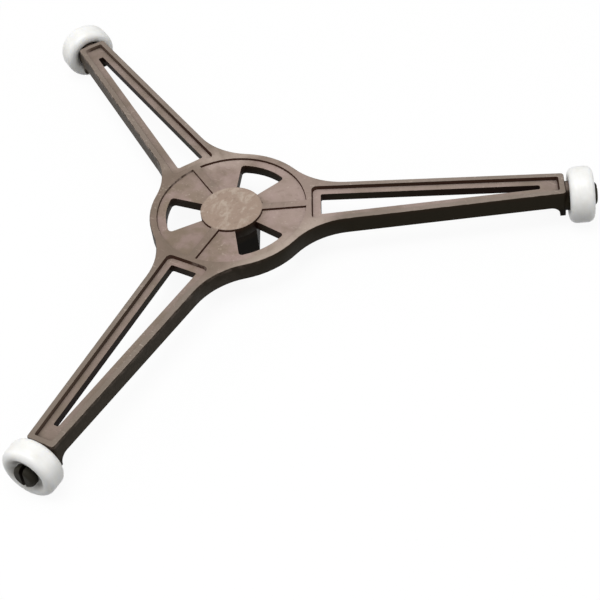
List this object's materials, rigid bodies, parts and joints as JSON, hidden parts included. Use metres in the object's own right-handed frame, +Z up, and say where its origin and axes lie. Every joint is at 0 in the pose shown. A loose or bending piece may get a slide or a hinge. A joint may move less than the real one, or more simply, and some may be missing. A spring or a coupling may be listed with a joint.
{
  "type": "microwave turntable roller support",
  "caption": "Flat moulded spider with slotted tapering arms, a windowed hub with a drive socket below it, and a push-on roller at each arm end that carries a turntable tray.",
  "frame": {"origin": "on the hub axis, at the mouth of the drive socket in the end face of the boss under the hub", "axes": "+Z up along the hub axis, +X along the first arm, the other arms at 120 and 240 degrees"},
  "size_m": [0.181, 0.207, 0.018],
  "materials": {
    "spider": "satin moulded taupe-brown plastic",
    "roller": "smooth white moulded plastic"
  },
  "bodies": {
    "spider": {"support_spider": "spider"},
    "roller_1": {"roller_1": "roller"},
    "roller_2": {"roller_2": "roller"},
    "roller_3": {"roller_3": "roller"}
  },
  "joints": [
    {"name": "roller_1_spin", "type": "hinge", "parent": "spider", "child": "roller_1", "pos_m": [0.11125, 0, 0.0082], "axis": [1, 0, 0], "continuous": true},
    {"name": "roller_2_spin", "type": "hinge", "parent": "spider", "child": "roller_2", "pos_m": [-0.05563, 0.09635, 0.0082], "axis": [-0.5, 0.866, 0], "continuous": true},
    {"name": "roller_3_spin", "type": "hinge", "parent": "spider", "child": "roller_3", "pos_m": [-0.05563, -0.09635, 0.0082], "axis": [-0.5, -0.866, 0], "continuous": true}
  ]
}
